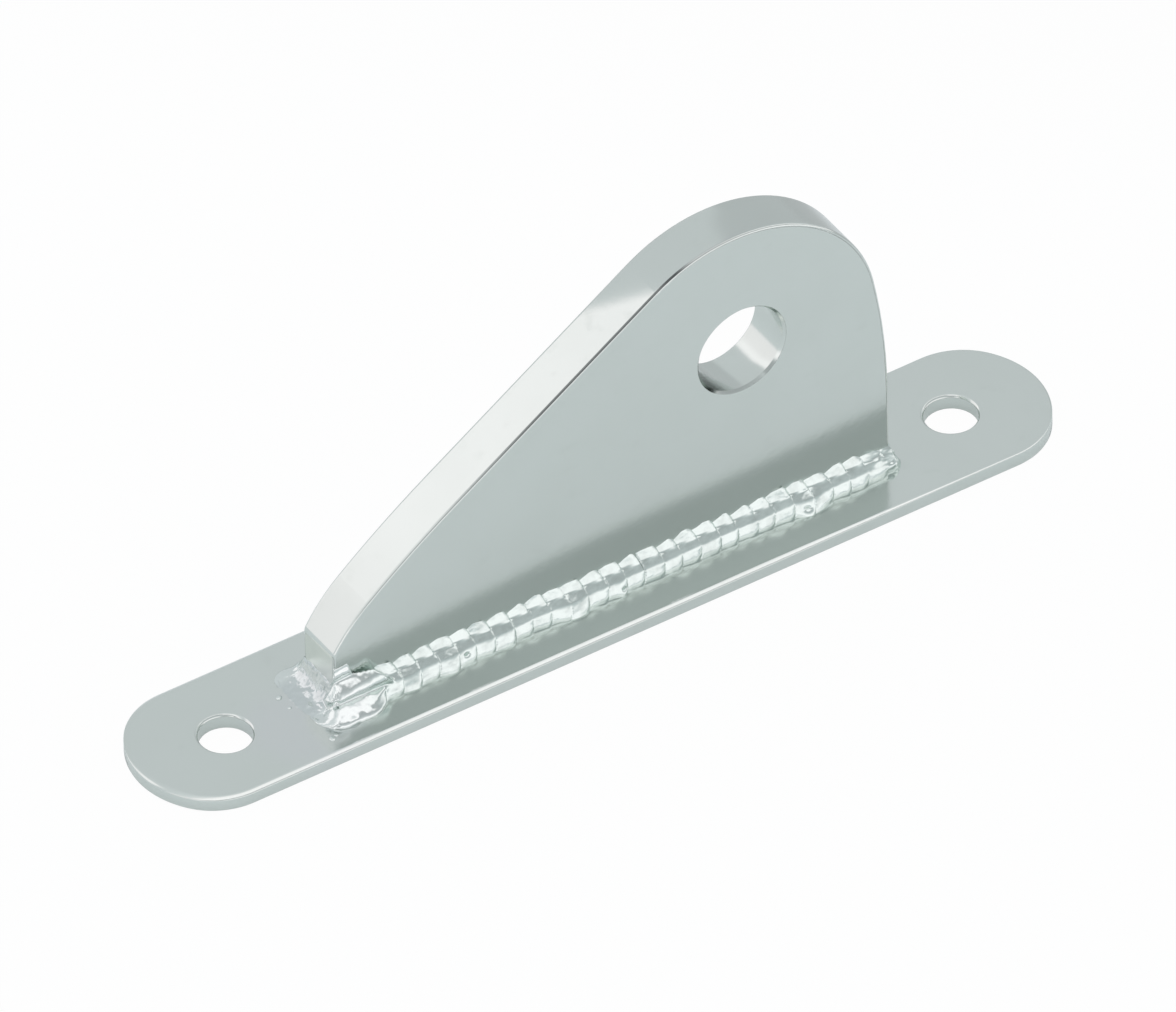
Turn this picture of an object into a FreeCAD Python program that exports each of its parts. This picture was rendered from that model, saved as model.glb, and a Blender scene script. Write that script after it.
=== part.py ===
import FreeCAD, Part
import math
import os

# Vang base fitting: a flat strip with two fastener holes, an upright lug with a pin hole, and a rippled
# weld bead along each side of the lug.
# Millimetres. X runs along the strip towards the lug's round head, Z is up, Y runs across.
# The origin is the middle of the strip's underside.

# Base strip, with ends that are a little blunter than a half circle
strip_length = 96.0
strip_width = 16.0
strip_thickness = 1.5
strip_end_radius = 8.8
strip_corner_radius = 6.8
strip_top_edge_round = 0.4
strip_underside_chamfer = 0.15

# Fastener holes on the strip's centre line
hole_spacing = 77.6
hole_diameter = 5.0
hole_countersink = 0.35

# Upright lug, with heights measured from the strip's top face
lug_thickness = 5.0
lug_edge_round = 0.3
pin_hole_x = 15.1
pin_hole_height = 20.9
pin_hole_diameter = 9.0
pin_hole_chamfer = 0.25

# The round head, whose centre lies a little behind and below the pin hole
head_radius = 15.1
head_setback = 0.6
head_drop = 1.6

# The heel flares out below the head and then drops straight to the strip
heel_flare = 1.0
heel_straight_height = 9.0

# The nose, where the sloping back comes down to the strip. The back bends down in a long sweep and then a
# tighter toe round, and both lengths are measured level from the nose's upright face.
nose_reach = 43.9
nose_corner_height = 8.7
nose_round = 1.0
toe_round_length = 3.8
toe_round_radius = 17.8
toe_sweep_length = 13.3
toe_sweep_radius = 100.0

# Weld bead along each side: its legs on the strip and on the lug, a convex face and ripples that lean
# towards the heel
weld_foot_leg = 1.9
weld_wall_leg = 2.75
weld_bulge = 0.45
ripple_pitch = 2.0
ripple_height = 0.16
ripple_lean = 1.2
ripple_steps = 3

# The smaller bead that turns round the lug's corners and meets its twin at the middle of each end
wrap_foot_leg = 1.5
wrap_wall_leg = 2.3
wrap_bulge = 0.25

# The lump where the right bead was finished at the nose, as a tall puddle on a wide, low one
lump_setback = 0.4
tall_puddle_length = 3.8
tall_puddle_width = 3.0
tall_puddle_height = 4.4
low_puddle_length = 4.9
low_puddle_width = 3.9
low_puddle_height = 2.3

# Places worked out from the sizes above
deck = strip_thickness
head_x = pin_hole_x - head_setback
head_z = deck + pin_hole_height - head_drop
heel_x = head_x + head_radius + heel_flare
nose_x = pin_hole_x - nose_reach
lug_side = lug_thickness / 2


def point_at(centre_x, centre_z, radius, angle):
    """A point of the lug's side view, on a circle, with the angle in radians from +X towards +Z."""
    return FreeCAD.Vector(centre_x + radius * math.cos(angle), 0, centre_z + radius * math.sin(angle))


def arc_edge(centre_x, centre_z, radius, start, end):
    """An arc of the lug's side view, from one angle to another."""
    middle = point_at(centre_x, centre_z, radius, (start + end) / 2)
    first = point_at(centre_x, centre_z, radius, start)
    last = point_at(centre_x, centre_z, radius, end)
    return Part.Arc(first, middle, last).toShape()


def line_edge(first, last):
    return Part.LineSegment(first, last).toShape()


def strip_outline():
    """The strip in plan: straight sides, and at each end a wide arc between two corner arcs."""
    half_width = strip_width / 2
    corner_y = half_width - strip_corner_radius
    centre_gap = strip_end_radius - strip_corner_radius
    end_centre_x = strip_length / 2 - strip_end_radius
    corner_x = end_centre_x + math.sqrt(centre_gap ** 2 - corner_y ** 2)
    blend = math.atan2(corner_y, corner_x - end_centre_x)

    def on_corner(side_x, side_y, angle):
        x = corner_x + strip_corner_radius * math.cos(angle)
        y = corner_y + strip_corner_radius * math.sin(angle)
        return FreeCAD.Vector(side_x * x, side_y * y, 0)

    edges = []
    for end in (1, -1):
        tip = FreeCAD.Vector(end * strip_length / 2, 0, 0)
        halfway = (math.pi / 2 + blend) / 2
        blends = [on_corner(end, side, blend) for side in (-1, 1)]
        flanks = [on_corner(end, side, math.pi / 2) for side in (-1, 1)]
        for side, flank, joint in zip((-1, 1), flanks, blends):
            edges.append(Part.Arc(flank, on_corner(end, side, halfway), joint).toShape())
        edges.append(Part.Arc(blends[0], tip, blends[1]).toShape())
    for side in (1, -1):
        edges.append(line_edge(on_corner(-1, side, math.pi / 2), on_corner(1, side, math.pi / 2)))
    return Part.Wire(Part.__sortEdges__(edges))


def edges_at_height(shape, height):
    """The edges that lie wholly in the level plane at this height."""
    def is_level(edge):
        box = edge.BoundBox
        return abs(box.ZMin - height) < 1e-4 and abs(box.ZMax - height) < 1e-4
    return [edge for edge in shape.Edges if is_level(edge)]


def make_strip():
    """The base strip: rounded above, just broken below, with two holes chamfered at the top."""
    strip = Part.Face(strip_outline()).extrude(FreeCAD.Vector(0, 0, strip_thickness))
    strip = strip.makeFillet(strip_top_edge_round, edges_at_height(strip, strip_thickness))
    strip = strip.makeChamfer(strip_underside_chamfer, edges_at_height(strip, 0))
    hole_radius = hole_diameter / 2
    for side in (-1, 1):
        start = FreeCAD.Vector(side * hole_spacing / 2, 0, 0)
        strip = strip.cut(Part.makeCylinder(hole_radius, strip_thickness, start))
    rims = [edge for edge in edges_at_height(strip, strip_thickness)
            if abs(getattr(edge.Curve, "Radius", 0) - hole_radius) < 1e-4]
    return strip.makeChamfer(hole_countersink, rims)


def lug_outline():
    """The lug in side view, as lines and arcs that run on into one another without a kink."""
    corner = FreeCAD.Vector(nose_x, 0, deck + nose_corner_height)
    to_head = FreeCAD.Vector(head_x, 0, head_z) - corner
    rise = math.atan2(to_head.z, to_head.x)
    slope = rise + math.asin(head_radius / to_head.Length)
    square_to_slope = slope + math.pi / 2

    # The straight back touches the head here
    back_top = point_at(head_x, head_z, head_radius, square_to_slope)

    # The toe's long sweep starts on the straight back and bends down towards the nose
    back_bottom = corner + FreeCAD.Vector(toe_sweep_length, 0, toe_sweep_length * math.tan(slope))
    sweep_x = back_bottom.x + toe_sweep_radius * math.sin(slope)
    sweep_z = back_bottom.z - toe_sweep_radius * math.cos(slope)

    # The toe round touches the sweep from within
    toe_blend = math.acos((nose_x + toe_round_length - sweep_x) / toe_sweep_radius)
    toe_x = sweep_x + (toe_sweep_radius - toe_round_radius) * math.cos(toe_blend)
    toe_z = sweep_z + (toe_sweep_radius - toe_round_radius) * math.sin(toe_blend)

    # The nose round touches the toe round from within and the nose's upright face
    round_x = nose_x + nose_round
    round_z = toe_z + math.sqrt((toe_round_radius - nose_round) ** 2 - (round_x - toe_x) ** 2)
    nose_blend = math.atan2(round_z - toe_z, round_x - toe_x)

    # The heel's long arc touches the head from outside and ends upright
    heel_z = deck + heel_straight_height
    reach = ((head_z - heel_z) ** 2 + heel_flare ** 2) / (2 * heel_flare)
    heel_radius = reach + head_radius
    heel_centre_x = heel_x - heel_radius
    heel_blend = math.atan2(head_z - heel_z, head_x - heel_centre_x)

    nose_foot = FreeCAD.Vector(nose_x, 0, deck)
    heel_foot = FreeCAD.Vector(heel_x, 0, deck)
    edges = [
        line_edge(nose_foot, FreeCAD.Vector(nose_x, 0, round_z)),
        arc_edge(round_x, round_z, nose_round, math.pi, nose_blend),
        arc_edge(toe_x, toe_z, toe_round_radius, nose_blend, toe_blend),
        arc_edge(sweep_x, sweep_z, toe_sweep_radius, toe_blend, square_to_slope),
        line_edge(back_bottom, back_top),
        arc_edge(head_x, head_z, head_radius, square_to_slope, heel_blend),
        arc_edge(heel_centre_x, heel_z, heel_radius, heel_blend, 0),
        line_edge(FreeCAD.Vector(heel_x, 0, heel_z), heel_foot),
        line_edge(heel_foot, nose_foot),
    ]
    return Part.Wire(edges)


def make_lug():
    """The upright lug, its outline eased on both sides except where it stands on the strip."""
    blank = Part.Face(lug_outline()).extrude(FreeCAD.Vector(0, lug_thickness, 0))
    blank.translate(FreeCAD.Vector(0, -lug_side, 0))

    def is_rim(edge):
        box = edge.BoundBox
        in_side_face = abs(abs(box.YMin) - lug_side) < 1e-4 and abs(box.YMax - box.YMin) < 1e-4
        return in_side_face and box.ZMax > deck + 1e-3

    lug = blank.makeFillet(lug_edge_round, [edge for edge in blank.Edges if is_rim(edge)])
    hole_z = deck + pin_hole_height
    hole_radius = pin_hole_diameter / 2
    start = FreeCAD.Vector(pin_hole_x, -lug_side, hole_z)
    lug = lug.cut(Part.makeCylinder(hole_radius, lug_thickness, start, FreeCAD.Vector(0, 1, 0)))
    rims = [edge for edge in lug.Edges if abs(getattr(edge.Curve, "Radius", 0) - hole_radius) < 1e-4]
    return lug.makeChamfer(pin_hole_chamfer, rims)


def face_tilt(foot_leg, wall_leg):
    """How steeply the middle of a bead's face looks up, in radians above level."""
    return math.atan2(foot_leg, wall_leg)


def bead_face(foot_leg, wall_leg, bulge):
    """A bead's convex face as an arc: its radius, and how far out and up its centre lies from the corner."""
    tilt = face_tilt(foot_leg, wall_leg)
    half_chord = math.hypot(foot_leg, wall_leg) / 2
    radius = (half_chord ** 2 + bulge ** 2) / (2 * bulge)
    centre_out = foot_leg / 2 - (radius - bulge) * math.cos(tilt)
    centre_up = wall_leg / 2 - (radius - bulge) * math.sin(tilt)
    return radius, centre_out, centre_up


def make_rippled_run():
    """The bead along the lug's side: a revolved row of scallops, sheared so that the ripples lean."""
    tilt = face_tilt(weld_foot_leg, weld_wall_leg)
    radius, centre_out, centre_up = bead_face(weld_foot_leg, weld_wall_leg, weld_bulge)
    margin = ripple_pitch + ripple_lean * (radius + weld_wall_leg)
    count = math.ceil((heel_x - nose_x + 2 * margin) / ripple_pitch)
    start = nose_x - margin
    points = [FreeCAD.Vector(start, 0, 0)]
    for step in range(count * ripple_steps + 1):
        rise = ripple_height * abs(math.sin(math.pi * step / ripple_steps))
        points.append(FreeCAD.Vector(start + step * ripple_pitch / ripple_steps, -radius - rise, 0))
    points.append(FreeCAD.Vector(points[-1].x, 0, 0))
    profile = Part.Face(Part.makePolygon(points + points[:1]))
    along = FreeCAD.Vector(1, 0, 0)
    profile.rotate(FreeCAD.Vector(0, 0, 0), along, 90 - math.degrees(tilt))
    scallops = profile.revolve(FreeCAD.Vector(0, 0, 0), along, -180)

    # The shear moves the bead's crown towards the heel, so each ripple's edge becomes a crescent
    outward = radius - weld_bulge
    shear = FreeCAD.Matrix()
    shear.A12 = -ripple_lean * math.cos(tilt)
    shear.A13 = ripple_lean * math.sin(tilt)
    shear.A14 = -ripple_lean * outward
    scallops = scallops.transformGeometry(shear)
    scallops.translate(FreeCAD.Vector(0, -lug_side - centre_out, deck + centre_up))
    size = max(weld_foot_leg, weld_wall_leg) + weld_bulge + ripple_height
    corner = FreeCAD.Vector(nose_x, -lug_side - size, deck)
    return scallops.common(Part.makeBox(heel_x - nose_x, size + lug_side, size, corner))


def wrap_section():
    """The plain section of a wrap in the XZ plane, with the corner it fills at the origin."""
    tilt = face_tilt(wrap_foot_leg, wrap_wall_leg)
    corner = FreeCAD.Vector(0, 0, 0)
    foot = FreeCAD.Vector(wrap_foot_leg, 0, 0)
    top = FreeCAD.Vector(0, 0, wrap_wall_leg)
    crown = (foot + top) / 2 + FreeCAD.Vector(math.cos(tilt), 0, math.sin(tilt)) * wrap_bulge
    face_arc = Part.Arc(foot, crown, top).toShape()
    return Part.Face(Part.Wire([line_edge(corner, foot), face_arc, line_edge(top, corner)]))


def make_wrap(corner_x, outward):
    """The bead's turn round one upright corner of the lug, and on to the middle of the lug's end."""
    up = FreeCAD.Vector(0, 0, 1)
    corner = FreeCAD.Vector(corner_x, -lug_side, deck)
    face = wrap_section()
    if outward < 0:
        face.rotate(FreeCAD.Vector(0, 0, 0), up, 180)
    face.translate(corner)
    turn = face.revolve(corner, up, -90 * outward)
    across = face.extrude(FreeCAD.Vector(0, lug_side, 0))
    return turn.fuse(across)


def make_puddle(length, width, height):
    """One puddle of the lump at the nose: an ellipsoid centred on the strip beside the lug's corner."""
    stretch = FreeCAD.Matrix()
    stretch.scale(length, width, height)
    puddle = Part.makeSphere(1).transformGeometry(stretch)
    puddle.translate(FreeCAD.Vector(nose_x + lump_setback, -lug_side, deck))
    return puddle


def make_bead(lug):
    """A bead on the lug's -Y side, with its wraps, in the order in which it was laid."""
    bead = make_wrap(heel_x, 1).fuse(make_rippled_run()).fuse(make_wrap(nose_x, -1))
    return bead.cut(lug)


def make_finished_bead(lug):
    """A bead with the lump at the nose, kept on the strip and on its own side of the lug's middle."""
    bead = make_bead(lug)
    bead = bead.fuse(make_puddle(tall_puddle_length, tall_puddle_width, tall_puddle_height))
    bead = bead.fuse(make_puddle(low_puddle_length, low_puddle_width, low_puddle_height))
    corner = FreeCAD.Vector(-strip_length / 2, -strip_width / 2, deck)
    return bead.common(Part.makeBox(strip_length, strip_width / 2, head_z, corner)).cut(lug)


def save(node, shape):
    """Write one node as its own file, and say what it is."""
    solids = shape.Solids
    shape = solids[0] if len(solids) == 1 else shape
    shape.exportStep("parts/" + node + ".step")
    print(node, "solids", len(solids), "valid", shape.isValid(), "volume", round(shape.Volume, 1))


os.makedirs("parts", exist_ok=True)
strip = make_strip()
lug = make_lug()
save("base_strip", strip)
save("upright_lug", lug)
save("weld_bead_right", make_finished_bead(lug))
save("weld_bead_left", make_bead(lug).mirror(FreeCAD.Vector(0, 0, 0), FreeCAD.Vector(0, 1, 0)))
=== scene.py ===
# %% [markdown]
# # A vang base fitting, dressed for the camera
#
# The fitting is a weldment of polished stainless steel: a flat strip that is screwed down, an upright lug
# with a pin hole, and a ripple weld along each side of the lug's foot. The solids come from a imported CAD
# model, which this file loads as a fixed frame. The two plates are already the right shape, so they only
# get a finish. The welds are where the workmanship shows, so each is modelled again, ripple by ripple. All
# sizes below are written in millimetres, because that is how a fitting is measured, and a mesh is brought
# to metres as it is made.

# %% Load the frame
import math

import bpy
import numpy as np
from mathutils import Matrix, Vector


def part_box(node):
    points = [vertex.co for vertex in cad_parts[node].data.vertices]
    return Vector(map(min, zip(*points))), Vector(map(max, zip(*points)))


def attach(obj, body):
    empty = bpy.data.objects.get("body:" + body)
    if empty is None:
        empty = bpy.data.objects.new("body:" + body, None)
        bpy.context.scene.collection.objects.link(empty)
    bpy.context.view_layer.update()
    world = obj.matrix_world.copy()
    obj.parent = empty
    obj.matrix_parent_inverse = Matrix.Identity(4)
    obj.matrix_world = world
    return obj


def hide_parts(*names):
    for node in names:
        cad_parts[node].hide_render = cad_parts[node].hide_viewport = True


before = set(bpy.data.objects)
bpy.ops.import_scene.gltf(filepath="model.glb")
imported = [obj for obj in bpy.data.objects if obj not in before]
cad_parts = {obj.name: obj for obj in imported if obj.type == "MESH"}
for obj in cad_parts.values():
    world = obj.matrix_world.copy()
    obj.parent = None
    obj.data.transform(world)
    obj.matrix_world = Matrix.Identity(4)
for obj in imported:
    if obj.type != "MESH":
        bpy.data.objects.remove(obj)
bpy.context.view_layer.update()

MM = 0.001
strip_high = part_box("base_strip")[1]
lug_low, lug_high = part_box("upright_lug")
deck = strip_high.z / MM
nose_x, heel_x = lug_low.x / MM, lug_high.x / MM
lug_side = lug_high.y / MM
print("deck", round(deck, 2), "nose", round(nose_x, 2), "heel", round(heel_x, 2), "side", round(lug_side, 2))

# %% [markdown]
# ## Nodes as expressions
#
# A finish is mostly arithmetic on patterns, and a page of linked nodes hides what is being added to what.
# So a socket is wrapped in a small class that knows how to be added and multiplied, and one method adds
# any node by its type, its settings and its sockets. The same two classes serve materials, the world and
# the Geometry Nodes trees.


# %% The two classes
class Wire:
    """An output socket that can take part in arithmetic."""

    def __init__(self, board, socket):
        self.board = board
        self.socket = socket

    def __add__(self, other):
        return self.board.maths("ADD", self, other)

    def __radd__(self, other):
        return self.board.maths("ADD", other, self)

    def __sub__(self, other):
        return self.board.maths("SUBTRACT", self, other)

    def __rsub__(self, other):
        return self.board.maths("SUBTRACT", other, self)

    def __mul__(self, other):
        return self.board.maths("MULTIPLY", self, other)

    def __rmul__(self, other):
        return self.board.maths("MULTIPLY", other, self)

    def __truediv__(self, other):
        return self.board.maths("DIVIDE", self, other)

    def __pow__(self, other):
        return self.board.maths("POWER", self, other)


class Board:
    """A node tree that is filled by expressions."""

    def __init__(self, tree):
        self.tree = tree
        tree.nodes.clear()

    @staticmethod
    def find(sockets, key):
        """A socket by its number, or else by its identifier or its name."""
        if isinstance(key, int):
            return sockets[key]
        for socket in sockets:
            if socket.identifier == key:
                return socket
        return next(socket for socket in sockets if socket.name == key)

    def add(self, kind, settings=None, sockets=None, output=0):
        """Add a node, set its settings first, then fill its sockets with numbers or wires."""
        node = self.tree.nodes.new(kind)
        for name, value in (settings or {}).items():
            if name == "stops":
                self.set_stops(node.color_ramp, value)
            else:
                setattr(node, name, value)
        for key, value in (sockets or {}).items():
            socket = self.find(node.inputs, key)
            if isinstance(value, Wire):
                self.tree.links.new(value.socket, socket)
            else:
                socket.default_value = value
        if not node.outputs:
            return None
        return Wire(self, self.find(node.outputs, output))

    @staticmethod
    def set_stops(ramp, stops):
        """Fill a ramp with grey stops, given as (place, grey) from left to right."""
        while len(ramp.elements) < len(stops):
            ramp.elements.new(0.5)
        for element, (place, grey) in zip(ramp.elements, stops):
            element.position = place
            element.color = (grey, grey, grey, 1)

    def maths(self, operation, *values):
        return self.add("ShaderNodeMath", {"operation": operation}, dict(enumerate(values)))

    def vector(self, operation, sockets, output=0):
        return self.add("ShaderNodeVectorMath", {"operation": operation}, sockets, output)

    def ease(self, value, low, high):
        """0 below low, 1 above high, and a smooth step between them. High may be the lower of the two."""
        limits = {"Value": value, "From Min": low, "From Max": high}
        return self.add("ShaderNodeMapRange", {"interpolation_type": "SMOOTHSTEP"}, limits)

    def noise(self, place, scale, detail=2.0, roughness=0.5):
        sockets = {"Vector": place, "Scale": scale, "Detail": detail, "Roughness": roughness}
        return self.add("ShaderNodeTexNoise", {}, sockets)

    def mix(self, factor, first, second):
        sockets = {"Factor_Float": factor, "A_Color": first, "B_Color": second}
        settings = {"data_type": "RGBA"}
        return self.add("ShaderNodeMix", settings, sockets, "Result_Color")


# %% [markdown]
# ## The polished plates
#
# Electropolished stainless steel is a bright, slightly soft mirror. What shows on it is mostly the studio,
# so its own marks have to stay faint. The colour drifts a little and is stained by the nose, the mirror is
# a touch softer in patches where it was handled, and the surface has a very shallow orange peel. A painted
# reflection, a thin dark line that stands for the dim gap round the lens, runs along the near edge of the
# sloping back, and it fades out over the head.
#
# Two shallow bends are given as a height, and a bump turns them into a tilt. The heat of the weld left the
# lug's foot a little dished, more so towards the heel, which widens the strip's mirror image there. The
# sloping back is a little crowned where it runs into the head, askew, and the crown stops at the lug's
# flat sides. The finish reads Object coordinates, in millimetres, so its marks keep their real size on
# both plates.


# %% Helpers that every finish uses
def new_finish(name):
    material = bpy.data.materials.new(name)
    material.use_nodes = True
    return material, Board(material.node_tree)


def place_in_mm(board):
    coordinates = board.add("ShaderNodeTexCoord", {}, {}, "Object")
    return board.vector("SCALE", {"Vector": coordinates, "Scale": 1 / MM})


def stretched(board, place, factors):
    """The same place with each axis scaled, which pulls a pattern out along the axis with the smallest."""
    return board.vector("MULTIPLY", {0: place, 1: factors})


def finish_metal(board, colour, roughness, normal):
    sockets = {"Base Color": colour, "Metallic": 1.0, "Roughness": roughness, "Normal": normal}
    shader = board.add("ShaderNodeBsdfPrincipled", {}, sockets)
    board.add("ShaderNodeOutputMaterial", {}, {"Surface": shader})


# %% Polished steel
STEEL = (0.68, 0.73, 0.70, 1)
STEEL_SHADED = (0.655, 0.705, 0.672, 1)
STEEL_STAINED = (0.685, 0.712, 0.712, 1)
STAIN_PLACE = (-32.5, -3.2, 1.5)

polished_steel, board = new_finish("polished_steel")
place = place_in_mm(board)
drift = board.noise(place, 0.12, 3.0)
handling = board.ease(board.noise(stretched(board, place, (1, 1, 1.6)), 0.42, 4.0, 0.6), 0.56, 0.74)
roughness = 0.15 + drift * 0.03 + handling * 0.05
colour = board.mix(board.ease(drift, 0.35, 0.75) * 0.5 + handling * 0.5, STEEL, STEEL_SHADED)
from_stain = board.vector("DISTANCE", {0: place, 1: STAIN_PLACE}, "Value") + drift * 3
colour = board.mix(board.ease(from_stain, 8.5, 4.5) * 0.7, colour, STEEL_STAINED)

# %% The painted dark reflection on the near edge
EDGE_PAINTED_DARK_REFLECTION = (0.10, 0.11, 0.11, 1)

x, y, z = (board.add("ShaderNodeSeparateXYZ", {}, {"Vector": place}, axis) for axis in "XYZ")
from_side = y + lug_side
on_edge = board.ease(from_side, 0.03, 0.08) * board.ease(from_side, 0.29, 0.22)
on_slope = board.ease(x, -20, -5) * board.ease(x, 10.5, 8.0)
on_head = board.ease(x, 6.0, 8.0) * board.ease(x, 19, 11)
# Painted reflection: the near edge is painted dark for the dim gap round the lens, on the slope and faintly
# over the head
colour = board.mix(on_edge * (on_slope + on_head * 0.3) * 0.8, colour, EDGE_PAINTED_DARK_REFLECTION)

# %% The peel, the dish and the crown
PEEL_DEPTH, DISH_DEPTH, CROWN_DEPTH = 0.005, 0.55, 1.15
CROWN_SKEW = 1.07

peel = board.noise(place, 1.3, 1.0) * 0.7 + board.noise(place, 5.0, 2.0) * 0.3
dish = board.ease(z, deck, deck + 14) * board.ease(x, -30, 3)
on_lug = board.ease(z, deck + 0.1, deck + 0.2)
off_sides = board.ease(board.maths("ABSOLUTE", y), lug_side - 0.001, lug_side - 0.01)
crown = board.ease(x + y * CROWN_SKEW, 3, 17) * on_lug * off_sides
height = peel * PEEL_DEPTH + dish * DISH_DEPTH - crown * CROWN_DEPTH
bump = board.add("ShaderNodeBump", {}, {"Strength": 1.0, "Distance": MM, "Height": height}, "Normal")
finish_metal(board, colour, roughness, bump)

for material_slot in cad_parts["upright_lug"].material_slots:
    material_slot.material = polished_steel
print("polished steel on the lug")

# %% [markdown]
# ## The weld beads
#
# A ripple weld is a row of puddles, each frozen over the edge of the one before. The bead fills the corner
# between lug and strip, turns round the lug's corners, and on the near side ends at the nose in a lump of
# folds with a small crater. The lug is polished, so it mirrors the bead, and the mirrored ripples are a
# second bright row above the real one.
#
# The bead could be swept along a path, but a sweep folds over itself at the lug's sharp corners. Here its
# face is a grid. One way runs along the lug's foot and fans out round each upright corner. The other way
# runs up the bead's section, from its foot on the strip to its top on the lug. A section is a short line
# of points, and the bead changes from one section to the next by mixing them. That gives one closed skin
# with even faces. The ripples repeat, so they are left to Geometry Nodes in a later step.


# %% Along the bead
FAN_LENGTH = 3.9
END_LENGTH = lug_side + 0.25
RUN_LENGTH = heel_x - nose_x
NOSE_STATIONS, RUN_STATIONS, HEEL_STATIONS = 140, 940, 90


def stations():
    """Distances along the bead: 0 at the nose corner, RUN_LENGTH at the heel corner."""
    nose = np.linspace(-FAN_LENGTH - END_LENGTH, 0, NOSE_STATIONS)[:-1]
    run = np.linspace(0, RUN_LENGTH, RUN_STATIONS)
    heel = np.linspace(RUN_LENGTH, RUN_LENGTH + FAN_LENGTH + END_LENGTH, HEEL_STATIONS)[1:]
    return np.concatenate([nose, run, heel])


def corner_line(along):
    """Where the bead's inner corner is, and which level way it faces, for the bead on the lug's -Y side."""
    turn = np.clip(-along / FAN_LENGTH, 0, 1)
    turn = turn - np.clip((along - RUN_LENGTH) / FAN_LENGTH, 0, 1)
    heading = math.radians(-90) - turn * math.radians(90)
    past_nose = np.clip(-along - FAN_LENGTH, 0, None)
    past_heel = np.clip(along - RUN_LENGTH - FAN_LENGTH, 0, None)
    corner_x = nose_x + np.clip(along, 0, RUN_LENGTH)
    corner_y = -lug_side + past_nose + past_heel
    return np.stack([corner_x, corner_y], -1), np.stack([np.cos(heading), np.sin(heading)], -1)


print("stations along a bead", len(stations()), "run length", round(RUN_LENGTH, 2))

# %% Smooth changes and smooth chance
LONGEST_WAVE = 9.0
WAVE_SHARES = (1.0, 0.62, 0.37, 0.23)


def wander(along, seed):
    """A smooth random line between about -1 and 1."""
    chance = np.random.default_rng(seed)
    total = np.zeros_like(along)
    for share in WAVE_SHARES:
        turns = along * 2 * math.pi / (LONGEST_WAVE * share)
        total = total + share * np.sin(turns + chance.uniform(0, 6.28))
    return total / 2.2


def ease(value, low, high):
    """0 at low, 1 at high, and a smooth step between them. High may be the lower of the two."""
    share = np.clip((value - low) / (high - low), 0, 1)
    return share * share * (3 - 2 * share)


def bell(value, middle, width):
    """1 in the middle, and a smooth fall to 0 on both sides."""
    return np.exp(-((value - middle) / width) ** 2)


# %% [markdown]
# ## Five sections
#
# The plain bead is steep at its foot and leans back higher up, and above a crease a film of metal ran up
# the lug. The foot and the film mirror the bright tent in front and show as two bright rows, with grey
# between them where the bead leans back. Round the nose the bead is washed out into a wide, hollow bank.
# At the heel the film gives out, and round the heel the bead is small. The lump ran down in steps, each
# frozen over the one below, so its section has two creases. Every section starts inside the strip and ends
# inside the lug.

# %% The sections, as distances out and up from the corner
COLUMNS = 60
PLAIN = [(1.50, -0.25), (1.48, 0.0), (1.43, 0.33), (1.26, 0.71), (1.09, 1.08), (0.93, 1.24), (0.65, 1.495),
         (0.37, 1.75), (0.315, 1.83), (0.03, 2.35), (-0.12, 2.62)]
BANK = [(2.90, -0.20), (2.70, 0.01), (2.2, 0.08), (1.7, 0.20), (1.25, 0.38), (0.9, 0.60), (0.6, 0.88),
        (0.38, 1.25), (0.2, 1.75), (0.04, 2.35), (-0.20, 2.70)]
HEEL = [(1.42, -0.30), (1.40, 0.0), (1.33, 0.36), (1.22, 0.68), (1.02, 1.02), (0.80, 1.26), (0.50, 1.56),
        (0.22, 1.84), (0.03, 2.05), (-0.20, 2.28)]
SMALL = [(1.00, -0.30), (0.96, 0.0), (0.86, 0.20), (0.70, 0.42), (0.52, 0.66), (0.34, 0.95), (0.20, 1.30),
         (0.12, 1.60), (0.03, 2.00), (-0.20, 2.20)]
LUMP = [(3.10, -0.30), (3.12, 0.05), (3.00, 0.34), (2.50, 0.68), (1.92, 1.00), (1.62, 1.14), (1.25, 1.24),
        (1.17, 1.45), (1.52, 1.85), (1.55, 2.05), (1.25, 2.42), (0.75, 2.74), (0.30, 3.00), (0.20, 3.14),
        (0.30, 3.50), (0.24, 3.85), (0.06, 4.08), (0.05, 4.40), (-0.25, 4.50)]


def smooth_section(points):
    """Round a section's corners by cutting them twice, and space its points evenly from foot to top."""
    line = np.array(points, float)
    for _ in range(2):
        before = line[:-1] * 0.75 + line[1:] * 0.25
        after = line[:-1] * 0.25 + line[1:] * 0.75
        inner = np.stack([before, after], 1).reshape(-1, 2)
        line = np.concatenate([line[:1], inner, line[-1:]])
    lengths = np.concatenate([[0], np.cumsum(np.hypot(*np.diff(line, axis=0).T))])
    even = np.linspace(0, lengths[-1], COLUMNS)
    return np.stack([np.interp(even, lengths, line[:, axis]) for axis in (0, 1)], -1)


plain, bank, heel, small, lump = (smooth_section(points) for points in (PLAIN, BANK, HEEL, SMALL, LUMP))
print("points in a section", len(plain))


# %% The plain story of a bead
def plain_face(along, height, seed):
    """Out and up of a bead that turns both corners, on a grid of distance along and share of its height."""
    to_nose = ease(along, 1.2, -3.0)[..., None]
    to_heel = ease(along, RUN_LENGTH - 4.0, RUN_LENGTH - 1.5)[..., None]
    past_heel = ease(along, RUN_LENGTH - 0.5, RUN_LENGTH + 2.5)[..., None]
    face = plain + (bank - plain) * to_nose + (heel - plain) * to_heel + (small - heel) * past_heel
    stretch = 1 + 0.06 * np.stack([wander(along, seed), wander(along, seed + 1)], -1)
    return face * stretch


# %% [markdown]
# ## What happened to the near bead
#
# A welder's hand isn't even, so the near bead gets a story of its own, in three parts. Its foot swells out
# in a few places, each given by its place along the bead, its size and its width. The lump is mixed in
# over the nose end, and it starts and ends at a different place at each height, so that its folds don't
# stop on one line. Last come small craters and blobs. Each is a round dent at a place along the bead and
# at a share of its height, and a depth below zero makes it a blob.

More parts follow.
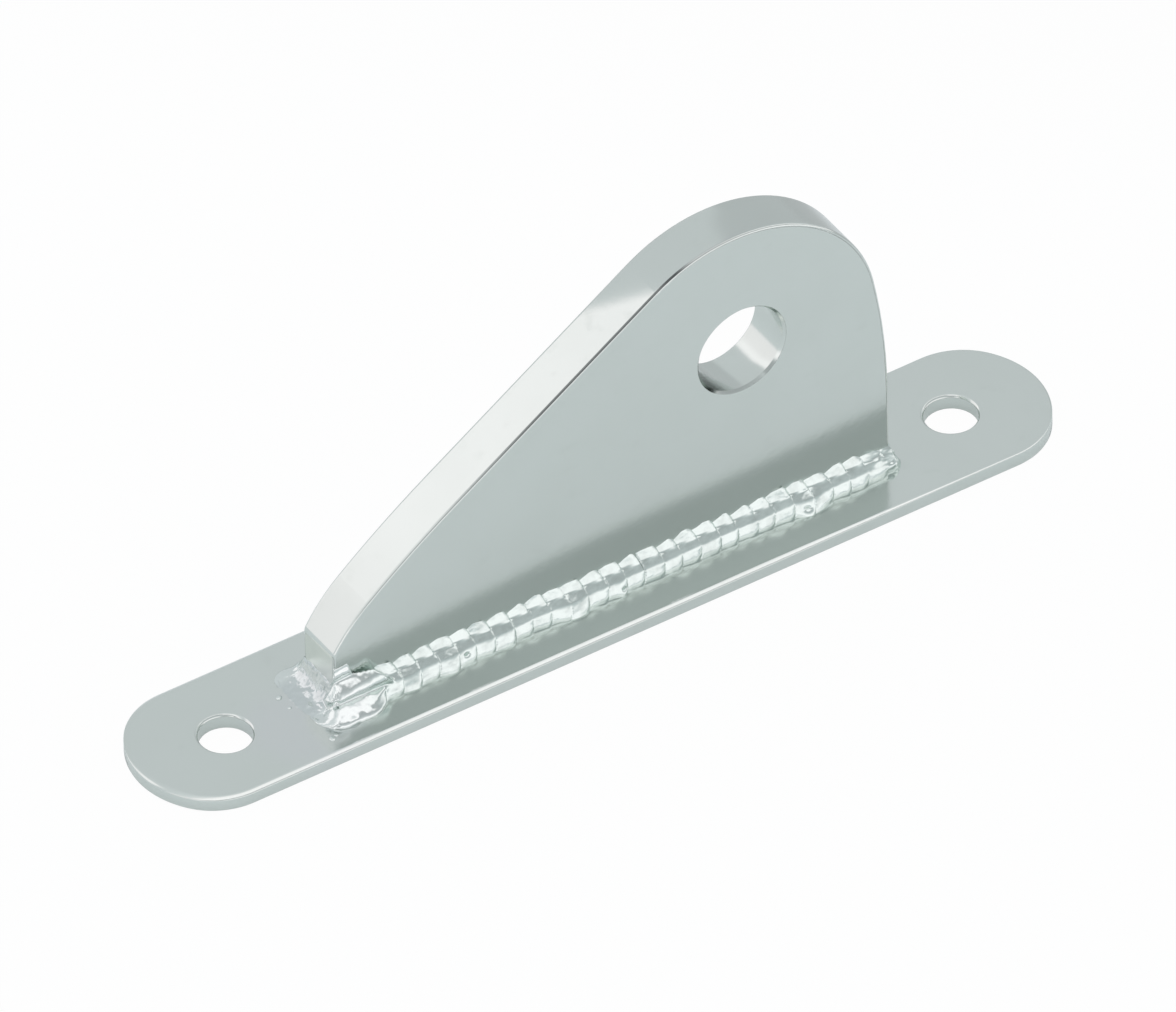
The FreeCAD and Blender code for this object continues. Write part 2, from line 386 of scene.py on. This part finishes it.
# %% The near bead's own story
NEAR_SWELLS = [(7.2, 0.60, 1.9), (11.5, 0.45, 1.6), (24.7, 0.6, 1.5), (29.7, 0.3, 0.8), (50, 0.6, 1.4),
               (16, 0.30, 2.5)]
NEAR_DIMPLES = [
    {"at": -1.0, "height": 0.455, "length": 0.34, "spread": 0.035, "depth": 0.7},
    {"at": -2.6, "height": 0.45, "length": 0.9, "spread": 0.02, "depth": 0.15},
    {"at": -4.4, "height": 0.42, "length": 0.45, "spread": 0.05, "depth": -0.09},
    {"at": -5.3, "height": 0.24, "length": 0.35, "spread": 0.05, "depth": -0.08},
    {"at": -5.7, "height": 0.62, "length": 0.30, "spread": 0.12, "depth": -0.10},
    {"at": -6.6, "height": 0.40, "length": 0.40, "spread": 0.06, "depth": -0.08},
    {"at": 13.2, "height": 0.30, "length": 0.22, "spread": 0.05, "depth": 0.30},
    {"at": 29.9, "height": 0.22, "length": 0.20, "spread": 0.05, "depth": 0.35},
    {"at": 49.5, "height": 0.22, "length": 0.40, "spread": 0.08, "depth": 0.22},
    {"at": 0.2, "height": 0.10, "length": 0.5, "spread": 0.06, "depth": -0.15},
    {"at": 57.6, "height": 0.60, "length": 0.45, "spread": 0.09, "depth": -0.12},
    {"at": 58.8, "height": 0.34, "length": 0.45, "spread": 0.09, "depth": -0.14},
    {"at": 60.9, "height": 0.40, "length": 0.60, "spread": 0.12, "depth": -0.16},
    {"at": 62.6, "height": 0.60, "length": 0.60, "spread": 0.14, "depth": -0.14},
]


def near_face(along, height):
    """The plain bead with its swells, the lump over it, and the craters and blobs in both."""
    face = plain_face(along, height, 3)
    swell = sum(size * bell(along, middle, width) for middle, size, width in NEAR_SWELLS)
    face[..., 0] += swell * np.clip(1 - height * 1.6, 0, 1)
    folds = np.stack([lump[:, 0] + 0 * along, lump[:, 1] + 0.10 * along * ease(height, 0.42, 0.6)], -1)
    starts = -3.4 - 1.6 * ease(height, 0.40, 0.55)
    ends = 4.1 + 1.1 * bell(height, 0.45, 0.18) - 2.2 * ease(height, 0.68, 0.80)
    taper = 1.7 - 1.1 * ease(height, 0.15, 0.40)
    share = ease(along, starts, starts + 2.4) * ease(along, ends + taper, ends - taper)
    face = face + (folds - face) * share[..., None]
    for dimple in NEAR_DIMPLES:
        run = (along - dimple["at"]) / dimple["length"]
        rise = (height - dimple["height"]) / dimple["spread"]
        sunk = dimple["depth"] * np.exp(-(run ** 2 + rise ** 2))
        face = face - outward(face) * sunk[..., None]
    return face


def far_face(along, height):
    return plain_face(along, height, 13)


def outward(face):
    """Which way a section faces at each of its points, as out and up."""
    step = np.gradient(face, axis=1)
    length = np.hypot(step[..., 0], step[..., 1]) + 1e-9
    return np.stack([step[..., 1] / length, -step[..., 0] / length], -1)


# %% [markdown]
# ## From sections to one closed skin
#
# At each station the section is set up at the lug's foot, and one more point, its root inside the corner,
# closes it to a ring. The rings make a tube, and a fan of faces closes each of its ends. Every point also
# carries a few numbers as attributes: how far along and across the bead it lies, how much it is rippled and
# crumpled, and its ray, which is the way that it faces. The ripples and the finish read them later, so they
# follow the bead round its corners.


# %% The faces of a closed tube
def tube_faces(rows, columns):
    """Faces between rows of points. The roots, one for each row, are numbered after all the others."""

    def at(row, column):
        return row * columns + column if column < columns else rows * columns + row

    ring = list(range(columns + 1))
    faces = []
    for row in range(rows - 1):
        for a, b in zip(ring, ring[1:] + ring[:1]):
            faces.append((at(row, a), at(row, b), at(row + 1, b), at(row + 1, a)))
    for row in (0, rows - 1):
        for a in range(columns - 1):
            faces.append((at(row, columns), at(row, a + 1), at(row, a)))
    return faces


# %% What each point carries
def carry(mesh, numbers, rays):
    """Give a mesh these numbers and rays. The roots come last, and their numbers are 0."""
    for key, values in numbers.items():
        attribute = mesh.attributes.new(key, "FLOAT", "POINT")
        with_roots = np.concatenate([values.ravel(), np.zeros(len(values))])
        attribute.data.foreach_set("value", with_roots.astype(np.float32))
    attribute = mesh.attributes.new("ray", "FLOAT_VECTOR", "POINT")
    attribute.data.foreach_set("vector", rays.astype(np.float32).ravel())


# %% The skin of a bead
ROOT_DEPTH = 0.35
RIPPLED_TO, CRUMPLED_FROM = 60.0, 57.0


def bead_mesh(name, face_rule, side, rippled_from, crumpled_to):
    """One closed skin: the face that shows, and a root that lies inside the lug and the strip."""
    along = stations()
    corners, headings = corner_line(along)
    grid_along, height = np.meshgrid(along, np.linspace(0, 1, COLUMNS), indexing="ij")
    face = face_rule(grid_along, height)
    facing = outward(face)

    def placed(out, up):
        """Level by the station's heading, and upright."""
        return np.stack([headings[:, 0, None] * out, headings[:, 1, None] * out, up], -1)

    start = np.stack([corners[:, 0], corners[:, 1], np.full(len(along), deck)], -1)
    points = start[:, None, :] + placed(face[..., 0], face[..., 1])
    rays = placed(facing[..., 0], facing[..., 1])
    root = start - np.stack([headings[:, 0], headings[:, 1], np.ones(len(along))], -1) * ROOT_DEPTH
    mirror = (1, side, 1)
    skin = np.concatenate([points.reshape(-1, 3), root]) * mirror
    rays = np.concatenate([rays.reshape(-1, 3), np.zeros_like(root)]) * mirror
    mesh = bpy.data.meshes.new(name)
    mesh.from_pydata((skin * MM).tolist(), [], tube_faces(*grid_along.shape))
    mesh.update()
    fades_out = ease(grid_along, RIPPLED_TO, RIPPLED_TO - 2.5)
    comes_back = ease(grid_along, CRUMPLED_FROM, CRUMPLED_FROM + 2)
    numbers = {
        "along": grid_along,
        "across": height,
        "rippled": ease(grid_along, rippled_from, rippled_from + 2.5) * fades_out,
        "crumpled": ease(grid_along, crumpled_to, crumpled_to - 1.5) + comes_back,
    }
    carry(mesh, numbers, rays)
    return mesh


def new_piece(mesh):
    piece = bpy.data.objects.new(mesh.name, mesh)
    bpy.context.scene.collection.objects.link(piece)
    return piece


# %% [markdown]
# ## Faces that point outwards
#
# The skin is put together from a grid, and the far bead is the near one's rule mirrored, which turns its
# faces inside out. The normals are recalculated on the closed mesh, and its volume is measured: a positive
# volume says that the faces point outwards.

# %% Recalculate and measure
import bmesh


def point_outwards(mesh):
    """Turn every face of a closed mesh outwards, shade it smooth, and print what it measures."""
    work = bmesh.new()
    work.from_mesh(mesh)
    bmesh.ops.remove_doubles(work, verts=work.verts, dist=1e-8)
    bmesh.ops.recalc_face_normals(work, faces=work.faces)
    open_edges = sum(1 for edge in work.edges if not edge.is_manifold)
    volume = work.calc_volume(signed=True) / MM ** 3
    if volume < 0:
        bmesh.ops.reverse_faces(work, faces=work.faces)
    work.to_mesh(mesh)
    work.free()
    mesh.polygons.foreach_set("use_smooth", [True] * len(mesh.polygons))
    print(mesh.name, "faces", len(mesh.polygons), "open edges", open_edges)
    print(mesh.name, "volume", round(abs(volume), 1), "mm3")


right_mesh = bead_mesh("ripple_weld_right", near_face, side=1, rippled_from=3.0, crumpled_to=4.5)
left_mesh = bead_mesh("ripple_weld_left", far_face, side=-1, rippled_from=-1.0, crumpled_to=-1.0)
bead_right = new_piece(right_mesh)
bead_left = new_piece(left_mesh)
for bead in (bead_right, bead_left):
    point_outwards(bead.data)

# %% [markdown]
# ## The strip's soft edge
#
# The strip's upper edge was dressed by hand: a soft bevel runs along it, wide at the nose and along the
# front and almost gone at the heel, and it catches the light as a white line. So the strip is modelled
# again with the same outline and holes. Its side is a row of rings. Each ring is the outline drawn in, or a
# hole widened, by some distance at some height. The two level faces are filled between the last rings.

# %% Rings round the outline and the holes
from mathutils.geometry import tessellate_polygon

HALF_LENGTH, HALF_WIDTH = strip_high.x / MM, strip_high.y / MM
END_RADIUS, CORNER_RADIUS = 8.8, 6.8
HOLE_PLACES, HOLE_RADIUS = (-38.8, 38.8), 2.5
END_STEPS, CORNER_STEPS, SIDE_STEPS, HOLE_STEPS = 14, 16, 24, 64


def strip_outline():
    """Points round the strip in plan, with the way that each faces outwards."""
    corner_y = HALF_WIDTH - CORNER_RADIUS
    end_x = HALF_LENGTH - END_RADIUS
    corner_x = end_x + math.sqrt((END_RADIUS - CORNER_RADIUS) ** 2 - corner_y ** 2)
    blend = math.atan2(corner_y, corner_x - end_x)
    arcs = []
    for angle in np.linspace(0, blend, END_STEPS)[:-1]:
        arcs.append((end_x, 0, END_RADIUS, angle))
    for angle in np.linspace(blend, math.pi / 2, CORNER_STEPS):
        arcs.append((corner_x, corner_y, CORNER_RADIUS, angle))
    for x in np.linspace(corner_x, 0, SIDE_STEPS)[1:]:
        arcs.append((x, corner_y, CORNER_RADIUS, math.pi / 2))
    x, y, radius, angle = np.array(arcs).T
    facing = np.stack([np.cos(angle), np.sin(angle)], -1)
    points = np.stack([x, y], -1) + facing * radius[:, None]
    quarter = np.column_stack([points, facing])
    mirrored = (quarter * (-1, 1, -1, 1))[::-1]
    half = np.concatenate([quarter, mirrored[1:]])
    whole = np.concatenate([half, -half[1:-1]])
    return whole[:, :2], whole[:, 2:]


def hole_ring(middle, radius):
    angle = np.linspace(0, 2 * math.pi, HOLE_STEPS, endpoint=False)
    return np.stack([middle + radius * np.cos(angle), radius * np.sin(angle)], -1)


print("points round the strip", len(strip_outline()[0]), "and round a hole", HOLE_STEPS)

# %% The strip's skin
EDGE = [(0.15, 0.00), (0.03, 0.12), (0.00, 0.20), (0.00, 1.16), (0.00, 1.24), (0.03, 1.30), (0.07, 1.335),
        (0.33, 1.455), (0.39, 1.48), (0.46, 1.495), (0.52, 1.50)]
HOLE_EDGE = [(0.00, 0.00), (0.00, 0.04), (0.00, 1.24), (0.02, 1.31), (0.16, 1.46), (0.22, 1.49),
             (0.28, 1.50)]
BEVEL_FROM = 1.2


def strip_mesh():
    outline, facing = strip_outline()
    soft = 1 - 0.75 * ease(outline[:, 0], 12, 42)
    skin, faces, flat_rings = [], [], {"bottom": [], "top": []}

    def add_rings(rings):
        """Join a row of rings with faces, and keep the first and last for the level faces."""
        start = sum(len(ring) for ring in skin)
        count = len(rings[0])
        skin.extend(rings)
        for step in range(len(rings) - 1):
            low = start + step * count
            for a in range(count):
                b = (a + 1) % count
                faces.append((low + a, low + b, low + count + b, low + count + a))
        flat_rings["bottom"].append(range(start, start + count))
        flat_rings["top"].append(range(start + (len(rings) - 1) * count, start + len(rings) * count))

    rings = []
    for inset, height in EDGE:
        scale = soft if height > BEVEL_FROM else np.ones(len(outline))
        plan = outline - facing * (inset * scale)[:, None]
        level = deck - (deck - height) * scale
        rings.append(np.column_stack([plan, level]))
    add_rings(rings)
    for middle in HOLE_PLACES:
        add_rings([np.column_stack([hole_ring(middle, HOLE_RADIUS + wider), np.full(HOLE_STEPS, height)])
                   for wider, height in HOLE_EDGE])
    points = np.concatenate(skin)
    for level_rings in flat_rings.values():
        numbers = [number for ring in level_rings for number in ring]
        loops = [[Vector(points[number]) for number in ring] for ring in level_rings]
        faces += [tuple(numbers[corner] for corner in triangle) for triangle in tessellate_polygon(loops)]
    mesh = bpy.data.meshes.new("soft_edged_strip")
    mesh.from_pydata((points * MM).tolist(), [], faces)
    mesh.update()
    return mesh


# %% The strip's own piece
strip_skin = strip_mesh()
point_outwards(strip_skin)
strip_skin.polygons.foreach_set("use_smooth", [abs(face.normal.z) < 0.9999 for face in strip_skin.polygons])
strip_skin.materials.append(polished_steel)
strip = new_piece(strip_skin)
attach(strip, "root")
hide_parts("base_strip")
print("strip", [round(size / MM, 2) for size in strip.dimensions])

# %% [markdown]
# ## The weld's finish
#
# Weld metal polishes brighter than the plates, because it froze from liquid and has no rolled grain. It
# only carries fine lines across the bead, and duller metal in patches. The lump at the nose was the
# hottest and came out a neutral grey, and the thin bank beyond it is duller. The finish is made before the
# ripples, because the tree that makes them also sets the material.

# %% Weld metal
WELD = (0.68, 0.762, 0.728, 1)
WELD_SHADED = (0.59, 0.665, 0.632, 1)
WELD_HOT = (0.73, 0.785, 0.765, 1)
WELD_WASHED = (0.62, 0.67, 0.665, 1)
LINE_DEPTH = 0.03

weld_metal, board = new_finish("weld_metal")
place = place_in_mm(board)
mottle = board.noise(place, 0.9, 3.0)
along = board.add("ShaderNodeAttribute", {"attribute_name": "along"}, {}, "Fac")
across = board.add("ShaderNodeAttribute", {"attribute_name": "across"}, {}, "Fac")
arch = 1 - (across * 2 - 1) ** 2
lines_place = board.add("ShaderNodeCombineXYZ", {}, {"X": (along - arch * 0.5) * 4.5, "Y": across * 1.2})
lines = board.noise(lines_place, 1.0, 2.0)
grain = board.noise(place, 6.0, 3.0)
colour = board.mix(board.ease(mottle, 0.4, 0.8), WELD, WELD_SHADED)
colour = board.mix(board.ease(along, 5.0, 1.0), colour, WELD_HOT)
colour = board.mix(board.ease(along, -2.8, -4.6) * 0.9, colour, WELD_WASHED)
height = lines * 0.7 + grain * 0.3
sockets = {"Strength": 0.2, "Distance": LINE_DEPTH * MM, "Height": height}
bump = board.add("ShaderNodeBump", {}, sockets, "Normal")
finish_metal(board, colour, 0.14 + mottle * 0.08, bump)
print("weld metal nodes", len(weld_metal.node_tree.nodes))

# %% [markdown]
# ## The ripples
#
# Each ripple is the edge of a frozen puddle. Seen along the bead, the skin climbs gently towards that
# edge, rounds over it and drops steeply behind it. The edge is a crescent, because the middle of the
# puddle froze last. The tree reads the distance along the bead, bends it into crescents, splits it into
# ripples by number and fraction, and lifts each point along its ray. The film above the crease is lifted
# more, so that it hangs over the crease. Every ripple draws its own height, seat and lean from its number
# and a fixed seed. Where the bead is crumpled instead, in the lump, the bank and round the heel, a noise
# moves the skin in and out.


# %% How a tree begins and ends
def tree_with_inputs(name, inputs):
    """A Geometry Nodes tree with a geometry input and output, and the named number inputs."""
    tree = bpy.data.node_groups.new(name, "GeometryNodeTree")
    board = Board(tree)
    tree.interface.new_socket(name="Geometry", in_out="INPUT", socket_type="NodeSocketGeometry")
    for key, kind in inputs.items():
        tree.interface.new_socket(name=key, in_out="INPUT", socket_type="NodeSocket" + kind)
    tree.interface.new_socket(name="Geometry", in_out="OUTPUT", socket_type="NodeSocketGeometry")
    entry = tree.nodes.new("NodeGroupInput")
    wires = {socket.name: Wire(board, socket) for socket in entry.outputs if socket.name}
    return tree, board, wires


def finish_tree(board, geometry, material):
    """End a tree as the export needs it: real faces with a material."""
    real = board.add("GeometryNodeRealizeInstances", {}, {"Geometry": geometry})
    painted = board.add("GeometryNodeSetMaterial", {}, {"Geometry": real, "Material": material})
    board.add("NodeGroupOutput", {}, {"Geometry": painted})


def named(board, name, kind="FLOAT"):
    return board.add("GeometryNodeInputNamedAttribute", {"data_type": kind}, {"Name": name}, "Attribute")


# %% Where each point lies in its ripple
RIPPLE_INPUTS = {
    "Pitch": "Float",
    "Height": "Float",
    "Crescent": "Float",
    "Unevenness": "Float",
    "Seed": "Int",
}

ripple_tree, board, given = tree_with_inputs("ripple the bead", RIPPLE_INPUTS)
along, across, rippled, crumpled = (named(board, key) for key in ("along", "across", "rippled", "crumpled"))
ray = named(board, "ray", "FLOAT_VECTOR")
arch = 1 - (across * 2 - 1) ** 2
seat = board.add("ShaderNodeCombineXYZ", {}, {"X": along * 0.31, "Y": given["Seed"] * 7.7})
stray = board.noise(seat, 1.0, 2.0) - 0.5
ripples = (along - arch * given["Crescent"] + stray * given["Unevenness"] * given["Pitch"]) / given["Pitch"]
number = board.maths("FLOOR", ripples)
fraction = ripples - number

# %% How far each point is moved
ROUNDED_FROM = 0.72


def drawn(board, low, high, number, seed):
    """A random number for each ripple."""
    sockets = {"Min_001": low, "Max_001": high, "ID": number, "Seed": seed}
    return board.add("FunctionNodeRandomValue", {"data_type": "FLOAT"}, sockets, "Value_001")


rounding = board.maths("MAXIMUM", fraction - ROUNDED_FROM, 0.0) / (1 - ROUNDED_FROM)
climb = fraction * (1 - rounding * rounding)
lift = climb * given["Height"] * drawn(board, 0.65, 1.25, number, given["Seed"])
film = board.ease(across, 0.62, 0.72)
lift = lift * (0.8 + film * 0.9) - film * 0.06
heave = drawn(board, -0.4, 0.4, number, given["Seed"] + 5) * given["Height"]
tip = drawn(board, -0.5, 0.5, number, given["Seed"] + 9) * (across - 0.5) * given["Height"]
skin = board.add("ShaderNodeCombineXYZ", {}, {"X": along, "Y": across * 5})
wrinkle = board.noise(skin, 0.8, 2.0) - 0.5
fine = wrinkle * 0.06
crumple = wrinkle * (0.15 + board.ease(along, -2.0, -4.0) * 0.18)
offset_length = ((lift + heave + tip) * rippled + fine + crumple * crumpled) * MM
offset = board.vector("SCALE", {"Vector": ray, "Scale": offset_length})
moved = board.add("GeometryNodeSetPosition", {}, {"Geometry": given["Geometry"], "Offset": offset})
finish_tree(board, moved, weld_metal)
print("ripple tree nodes", len(ripple_tree.nodes))


# %% Ripple both beads
def apply_tree(piece, tree, values):
    """Run a tree on a piece with these input values, and keep the result as the piece's plain mesh."""
    modifier = piece.modifiers.new(tree.name, "NODES")
    modifier.node_group = tree
    for item in tree.interface.items_tree:
        if item.in_out == "INPUT" and item.name in values:
            modifier[item.identifier] = values[item.name]
    bpy.context.view_layer.update()
    result = piece.evaluated_get(bpy.context.evaluated_depsgraph_get())
    mesh = bpy.data.meshes.new_from_object(result)
    piece.modifiers.remove(modifier)
    old = piece.data
    piece.data = mesh
    mesh.name = old.name + "_done"
    # A ball made by a tree brings an empty slot of its own, in front of the one that the tree sets
    while len(mesh.materials) > 1 and mesh.materials[0] is None:
        mesh.materials.pop(index=0)
    bpy.data.meshes.remove(old)
    print(piece.name, "faces", len(mesh.polygons), "materials", [finish.name for finish in mesh.materials])


RIPPLES = {"Pitch": 2.0, "Height": 0.19, "Crescent": 0.5, "Unevenness": 0.55}
apply_tree(bead_right, ripple_tree, {**RIPPLES, "Seed": 3})
apply_tree(bead_left, ripple_tree, {**RIPPLES, "Seed": 8})

for bead, node in ((bead_right, "weld_bead_right"), (bead_left, "weld_bead_left")):
    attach(bead, "root")
    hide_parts(node)

# %% [markdown]
# ## Spatter by the nose
#
# A few drops of metal landed on the strip in front of the nose and were polished down with it. A drop is a
# flattened ball. Geometry Nodes put one on each point of a small cloud and give it a random size and turn,
# which is how it would be done for hundreds, though with fewer faces to a ball.

# %% Drops on the strip
DROP_PLACES = [(-32.25, 1.36), (-32.2, -0.34), (-31.3, -6.0), (-30.75, -5.8)]
DROP_RADIUS, DROP_LEVEL = 0.30, 0.02

spatter_tree, board, given = tree_with_inputs("spatter", {"Radius": "Float", "Seed": "Int"})
ball = board.add("GeometryNodeMeshIcoSphere", {}, {"Radius": given["Radius"], "Subdivisions": 3})
ball = board.add("GeometryNodeSetShadeSmooth", {}, {"Geometry": ball})
width = drawn(board, 0.6, 1.3, board.add("GeometryNodeInputIndex"), given["Seed"])
size = board.add("ShaderNodeCombineXYZ", {}, {"X": width, "Y": width * 0.8, "Z": width * 0.45})
turn = board.add("ShaderNodeCombineXYZ", {}, {"Z": width * 9})
sockets = {"Points": given["Geometry"], "Instance": ball, "Scale": size, "Rotation": turn}
drops = board.add("GeometryNodeInstanceOnPoints", {}, sockets)
finish_tree(board, drops, weld_metal)

cloud = bpy.data.meshes.new("weld_spatter")
cloud.from_pydata([(x * MM, y * MM, (deck + DROP_LEVEL) * MM) for x, y in DROP_PLACES], [], [])
spatter = new_piece(cloud)
apply_tree(spatter, spatter_tree, {"Radius": DROP_RADIUS * MM, "Seed": 4})
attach(spatter, "root")

# %% [markdown]
# ## The studio
#
# Polished metal is lit by what it mirrors. The real fitting was shot in a white tent: even, a little
# dimmer behind the camera, and brighter overhead, behind to the left and low in front. Round the gap that
# the lens looks through the tent is dimmer still. Lamps would draw their own edges on the metal, so the
# tent is painted on the world by direction, with soft patches. Camera rays see plain white instead, as the
# photograph does.
#
# The tent's level is first given from front to back, by the angle over the top. Then each patch moves it
# part of the way to a level of its own. A patch behind the fitting is given by its level, and by the two
# places across the tent between which it comes in.

# %% The tent's level from front to back
LEVEL_FULL = 1.5
TENT_STOPS = [(0, 1.30), (19, 1.30), (36, 0.74), (46, 0.62), (60, 0.52), (67, 0.44), (70.5, 1.36),
              (85, 1.26), (91, 0.92), (104, 0.80), (134, 0.745), (180, 0.72)]
COOL, NEUTRAL = (0.965, 1.0, 1.03, 1), (1.03, 0.985, 1.01, 1)

world = bpy.data.worlds.new("white_tent")
bpy.context.scene.world = world
world.use_nodes = True
board = Board(world.node_tree)
direction = board.add("ShaderNodeTexCoord", {}, {}, "Generated")
x, y, z = (board.add("ShaderNodeSeparateXYZ", {}, {"Vector": direction}, axis) for axis in "XYZ")
sweep = board.maths("ARCTAN2", z, y * -1) / math.pi
stops = [(degrees / 180, level / LEVEL_FULL) for degrees, level in TENT_STOPS]
level = board.add("ShaderNodeValToRGB", {"stops": stops}, {"Fac": sweep}) * LEVEL_FULL


def towards(value, target, share):
    """Move a level part of the way to a target."""
    return value + (target - value) * share


# %% The tent's patches, and the gap that the lens looks through
BEHIND_PATCHES = [(1.25, -0.34, -0.44), (0.62, 0.42, 0.52), (1.10, -0.52, -0.66)]
LENS_WAY = (-0.47, -0.735, 0.489)
LENS_EDGE, LENS_CORE = math.cos(math.radians(22)), math.cos(math.radians(11))

behind = board.ease(y, 0.30, 0.45)
for patch_level, across_from, across_to in BEHIND_PATCHES:
    level = towards(level, patch_level, behind * board.ease(x, across_from, across_to))
front_left = board.ease(y, -0.35, -0.50) * board.ease(z, 0.15, 0.35) * board.ease(x, -0.12, -0.30)
level = towards(level, 1.20, front_left)
to_lens = board.vector("DOT_PRODUCT", {0: direction, 1: LENS_WAY}, "Value")
level = towards(level, 0.50, board.ease(to_lens, LENS_EDGE, LENS_CORE))

# %% The tent's colour, and white for the camera
colour = board.mix(board.ease(level, 0.80, 1.10), COOL, NEUTRAL)
tent = board.add("ShaderNodeBackground", {}, {"Color": colour, "Strength": level})
white = board.add("ShaderNodeBackground", {}, {"Color": (1, 1, 1, 1), "Strength": 1.0})
to_camera = board.add("ShaderNodeLightPath", {}, {}, "Is Camera Ray")
seen = board.add("ShaderNodeMixShader", {}, {"Fac": to_camera, 1: tent, 2: white})
board.add("ShaderNodeOutputWorld", {}, {"Surface": seen})
print("tent stops", len(TENT_STOPS), "patches behind", len(BEHIND_PATCHES))

# %% [markdown]
# ## The floor
#
# The fitting lies on a plain pale sheet. The metal mirrors the sheet as it is, with the fitting's shadow
# on it, and with shade painted darker on its far corner, behind and to the right, where the studio is
# dimmer. For the camera most of the sheet's colour is its own plain white, so that only a trace of the
# shadow is left and the background reads as white paper.

# %% A pale sheet
FLOOR_HALF, FLOOR_LEVEL = 0.9, -0.00005
PAPER_NEAR, PAPER_FAR_PAINTED_SHADE = (0.77, 0.83, 0.845, 1), (0.45, 0.48, 0.49, 1)
CAMERA_SHARE, MIRROR_SHARE = 0.97, 0.27

corner_ways = [(-1, -1), (1, -1), (1, 1), (-1, 1)]
corners = [(x * FLOOR_HALF, y * FLOOR_HALF, FLOOR_LEVEL) for x, y in corner_ways]
floor_mesh = bpy.data.meshes.new("floor")
floor_mesh.from_pydata(corners, [], [(0, 1, 2, 3)])
floor = new_piece(floor_mesh)
pale_sheet, board = new_finish("pale_sheet")
place = place_in_mm(board)
x, y = (board.add("ShaderNodeSeparateXYZ", {}, {"Vector": place}, axis) for axis in "XY")
# Painted shade: the sheet's far corner, behind and to the right, is painted darker for the dimmer studio
# that the metal mirrors there
colour = board.mix(board.ease(x + y, 60, 160), PAPER_NEAR, PAPER_FAR_PAINTED_SHADE)
paper = board.add("ShaderNodeBsdfDiffuse", {}, {"Color": colour})
glow = board.add("ShaderNodeEmission", {}, {"Color": (1, 1, 1, 1), "Strength": 1.0})
to_camera = board.add("ShaderNodeLightPath", {}, {}, "Is Camera Ray")
to_mirror = board.add("ShaderNodeLightPath", {}, {}, "Is Glossy Ray")
own_white = to_camera * CAMERA_SHARE + to_mirror * MIRROR_SHARE
sheet = board.add("ShaderNodeMixShader", {}, {"Fac": own_white, 1: paper, 2: glow})
board.add("ShaderNodeOutputMaterial", {}, {"Surface": sheet})
floor.data.materials.append(pale_sheet)
print("floor", [round(size, 2) for size in floor.dimensions])

# %% [markdown]
# ## The camera
#
# The photograph was taken from far away with a long lens, so that parallel edges stay parallel. The
# camera's three directions come from lining up the strip's and the lug's outlines with it.

# %% Aim a long lens
AIM = Vector((-0.03, -0.05, 9.53)) * MM
RIGHT = Vector((0.83889, -0.54399, -0.01837))
UP = Vector((0.36874, 0.54316, 0.75433))
DISTANCE = 4.0
SENSOR_WIDTH, FOCAL_LENGTH = 36, 1366.4

camera_data = bpy.data.cameras.new("long_lens")
camera_data.sensor_width = SENSOR_WIDTH
camera_data.lens = FOCAL_LENGTH
camera = bpy.data.objects.new("camera", camera_data)
bpy.context.scene.collection.objects.link(camera)
back = RIGHT.cross(UP).normalized()
turned = Matrix((RIGHT, UP, back)).transposed().to_4x4()
camera.matrix_world = Matrix.Translation(AIM + back * DISTANCE) @ turned
bpy.context.scene.camera = camera
bpy.context.scene.view_settings.view_transform = "Standard"
print("camera at", [round(value, 3) for value in camera.location])
